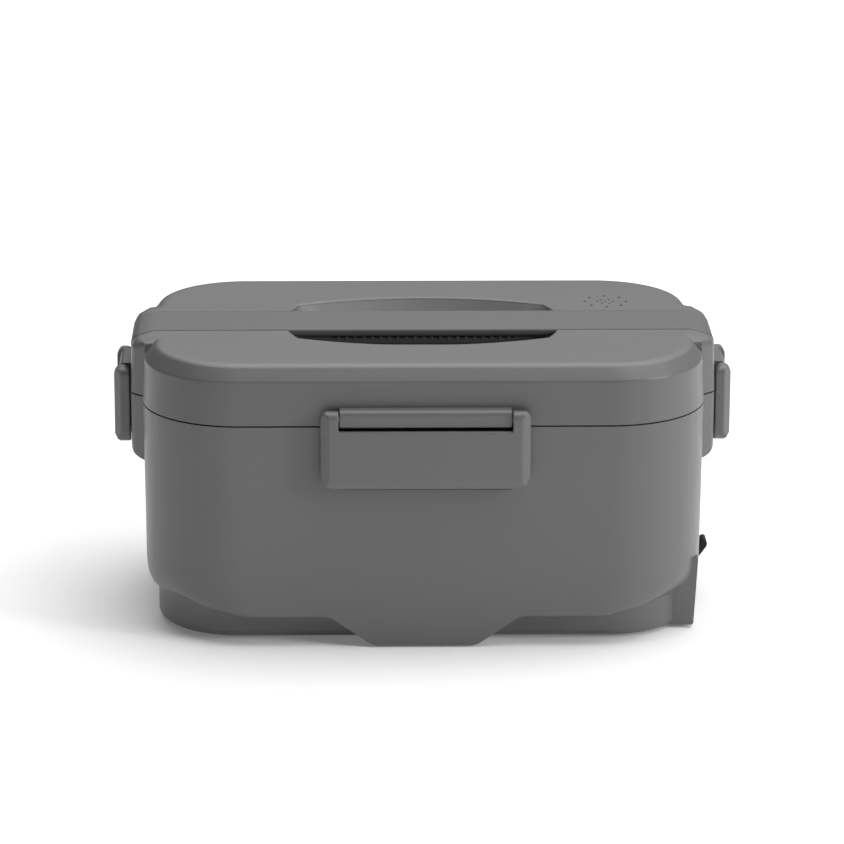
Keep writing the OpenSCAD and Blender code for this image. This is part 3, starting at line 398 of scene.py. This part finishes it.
# body, material and edge radius in millimetres, with none where the edges are rounded already
dressed = {
    "outer_body": ("base", "shellPlastic", 0.3),
    "lid_shell": ("lid", "shellPlastic", 0.35),
    "carry_handle": ("lid", "strapPlastic", 0),
    "handle_grip": ("lid", "gripPlastic", 0.15),
    "front_latch": ("front_latch", "shellPlastic", 0.5),
    "rear_latch": ("rear_latch", "shellPlastic", 0.5),
    "left_latch": ("left_latch", "shellPlastic", 0.5),
    "right_latch": ("right_latch", "shellPlastic", 0.5),
    "inlet_cover": ("inlet_cover", "blackRubber", 0.25),
    "bottom_cover": ("base", "shellPlastic", 0.25),
    "rubber_feet": ("base", "blackRubber", 0.3),
    "chamber_liner": ("base", "linerPlastic", 0),
    "food_tray": ("tray", "traySteel", 0),
    "lid_liner": ("lid", "lidInner", 0.2),
}
for node, (body, material, radius) in dressed.items():
    dressNode(node, body, material, radius)
print("dressed pieces:", len(dressed))


# Geometry Nodes for the small parts that repeat

def newTree(name, inputs):
    # a tree with named inputs, besides the points and the material that each one takes
    tree = bpy.data.node_groups.new(name, "GeometryNodeTree")
    inputs = {"Points": "NodeSocketGeometry"} | inputs | {"Material": "NodeSocketMaterial"}
    for title, kind in inputs.items():
        tree.interface.new_socket(title, in_out="INPUT", socket_type=kind)
    tree.interface.new_socket("Geometry", in_out="OUTPUT", socket_type="NodeSocketGeometry")
    return tree, addNode(tree, "NodeGroupInput").outputs


def endTree(tree, given, shape):
    # the shape stands on each point, and the instances become real mesh with the tree's material
    placed = addNode(tree, "GeometryNodeInstanceOnPoints", links={"Points": given["Points"], "Instance": shape})
    real = addNode(tree, "GeometryNodeRealizeInstances", links={0: placed.outputs[0]})
    finish = addNode(tree, "GeometryNodeSetMaterial",
                     links={0: real.outputs[0], "Material": given["Material"]})
    addNode(tree, "NodeGroupOutput", links={0: finish.outputs[0]})
    return tree


def growMesh(tree, values, points):
    # runs the tree on a cloud of points in metres and gives back a plain mesh
    seedMesh = bpy.data.meshes.new("points")
    seedMesh.from_pydata(points, [], [])
    holder = bpy.data.objects.new("pointsHolder", seedMesh)
    bpy.context.scene.collection.objects.link(holder)
    modifier = holder.modifiers.new("grow", "NODES")
    modifier.node_group = tree
    for item in tree.interface.items_tree:
        if item.in_out == "INPUT" and item.name in values:
            modifier[item.identifier] = values[item.name]
    bpy.context.view_layer.update()
    result = bpy.data.meshes.new_from_object(holder.evaluated_get(bpy.context.evaluated_depsgraph_get()))
    holder.modifiers.remove(modifier)
    bpy.data.objects.remove(holder)
    return result


# millimetres, and as shares: how far the recess's arms pass the head's radius, how far the cutting cross is sunk
# from the head's middle, and the shank's rise, just short of a half so that it stays inside the head
baseScrew = {"headRadius": 2.7, "headHeight": 1.2, "shankRadius": 1.42, "slotWidth": 0.8, "edge": 0.12,
             "headSides": 40, "shankSides": 24, "armShare": 1.15, "sinkShare": -0.55, "riseShare": 0.499}


def crossScrewTree():
    # pan head with a cross recess, looking down, and a plain shank above it
    tree, given = newTree("crossScrew", {name: "NodeSocketFloat" for name in (
        "Head Radius", "Head Height", "Shank Radius", "Shank Length", "Slot Width")})
    head = addNode(tree, "GeometryNodeMeshCylinder", {"Vertices": baseScrew["headSides"]},
                   {"Radius": given["Head Radius"], "Depth": given["Head Height"]})
    arm = addNode(tree, "ShaderNodeMath", {"operation": "MULTIPLY", 1: baseScrew["armShare"]},
                  {0: given["Head Radius"]})
    cross = addNode(tree, "GeometryNodeMeshBoolean", {"operation": "UNION", "solver": "EXACT"})
    for sides in ((given["Slot Width"], arm.outputs[0]), (arm.outputs[0], given["Slot Width"])):
        size = addNode(tree, "ShaderNodeCombineXYZ", links={0: sides[0], 1: sides[1], 2: given["Head Height"]})
        bar = addNode(tree, "GeometryNodeMeshCube", links={"Size": size.outputs[0]})
        tree.links.new(bar.outputs[0], cross.inputs[1])
    sink = addNode(tree, "ShaderNodeMath", {"operation": "MULTIPLY", 1: baseScrew["sinkShare"]},
                   {0: given["Head Height"]})
    down = addNode(tree, "ShaderNodeCombineXYZ", links={2: sink.outputs[0]})
    sunk = addNode(tree, "GeometryNodeTransform", links={0: cross.outputs[0], "Translation": down.outputs[0]})
    cut = addNode(tree, "GeometryNodeMeshBoolean", {"operation": "DIFFERENCE", "solver": "EXACT"},
                  {0: head.outputs[0], 1: sunk.outputs[0]})
    shank = addNode(tree, "GeometryNodeMeshCylinder", {"Vertices": baseScrew["shankSides"]},
                    {"Radius": given["Shank Radius"], "Depth": given["Shank Length"]})
    total = addNode(tree, "ShaderNodeMath", {"operation": "ADD"},
                    {0: given["Head Height"], 1: given["Shank Length"]})
    rise = addNode(tree, "ShaderNodeMath", {"operation": "MULTIPLY", 1: baseScrew["riseShare"]},
                   {0: total.outputs[0]})
    up = addNode(tree, "ShaderNodeCombineXYZ", links={2: rise.outputs[0]})
    raised = addNode(tree, "GeometryNodeTransform", links={0: shank.outputs[0], "Translation": up.outputs[0]})
    screw = addNode(tree, "GeometryNodeJoinGeometry")
    for half in (cut, raised):
        tree.links.new(half.outputs[0], screw.inputs[0])
    return endTree(tree, given, screw.outputs[0])


def gripRibTree():
    # row of small upright half-round ribs, one on each point
    tree, given = newTree("gripRibs", {"Rib Radius": "NodeSocketFloat", "Rib Height": "NodeSocketFloat"})
    rib = addNode(tree, "GeometryNodeMeshCylinder", {"Vertices": gripRibs["sides"]},
                  {"Radius": given["Rib Radius"], "Depth": given["Rib Height"]})
    return endTree(tree, given, rib.outputs[0])


# the screws stand where the solid ones do: three along each long side of the bottom
low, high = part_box("base_screws")
screwX, screwY = (high[axis] - baseScrew["headRadius"] * mm for axis in (0, 1))
screwZ = low[2] + baseScrew["headHeight"] * mm / 2
screwMesh = growMesh(crossScrewTree(), {
    "Head Radius": baseScrew["headRadius"] * mm, "Head Height": baseScrew["headHeight"] * mm,
    "Shank Radius": baseScrew["shankRadius"] * mm, "Slot Width": baseScrew["slotWidth"] * mm,
    "Shank Length": high[2] - low[2] - baseScrew["headHeight"] * mm, "Material": materials["zincSteel"],
}, [(x, y, screwZ) for x in (-screwX, 0, screwX) for y in (-screwY, screwY)])
crossScrews = linkPiece("crossScrews", screwMesh, "zincSteel", "base", ["base_screws"])
softEdges(crossScrews, baseScrew["edge"])

# millimetres: the ribs stand half sunk in both flanks of the grip, just under its top
gripRibs = {"count": 21, "pitch": 3.3, "radius": 0.9, "height": 1.2, "proud": 0.3, "drop": 0.4, "edge": 0.2,
            "sides": 20}
low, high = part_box("handle_grip")
ribZ = high[2] - (gripRibs["drop"] + gripRibs["height"] / 2) * mm
ribY = high[1] - (gripRibs["radius"] - gripRibs["proud"]) * mm
ribX = [(place - (gripRibs["count"] - 1) / 2) * gripRibs["pitch"] * mm for place in range(gripRibs["count"])]
ribMesh = growMesh(gripRibTree(), {
    "Rib Radius": gripRibs["radius"] * mm, "Rib Height": gripRibs["height"] * mm,
    "Material": materials["gripPlastic"],
}, [(x, flank * ribY, ribZ) for x in ribX for flank in (-1, 1)])
ribRows = linkPiece("gripRibs", ribMesh, "gripPlastic", "lid")
softEdges(ribRows, gripRibs["edge"])
print("repeated parts ready")

# Solids that keep their own surface and get a finish
plainNodes = {
    "plate_gasket": "redSilicone", "heating_plate": "plateAluminium", "plate_nuts": "turnedBrass",
    "ptc_heater": "plateAluminium", "heater_clamp": "springSteel", "clamp_screws": "zincSteel",
    "thermostat": "phenolic", "thermal_fuse": "zincSteel", "power_inlet": "socketPlastic",
    "inlet_pins": "turnedBrass", "live_lead": "brownWire", "neutral_lead": "blueWire", "link_lead": "redWire",
    "lid_seal": "silicone", "steam_valve": "silicone", "handle_screws": "zincSteel", "grip_screws": "zincSteel",
}
for node, material in plainNodes.items():
    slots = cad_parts[node].data.materials
    slots.clear()
    slots.append(materials[material])
print("plain solids:", len(plainNodes))
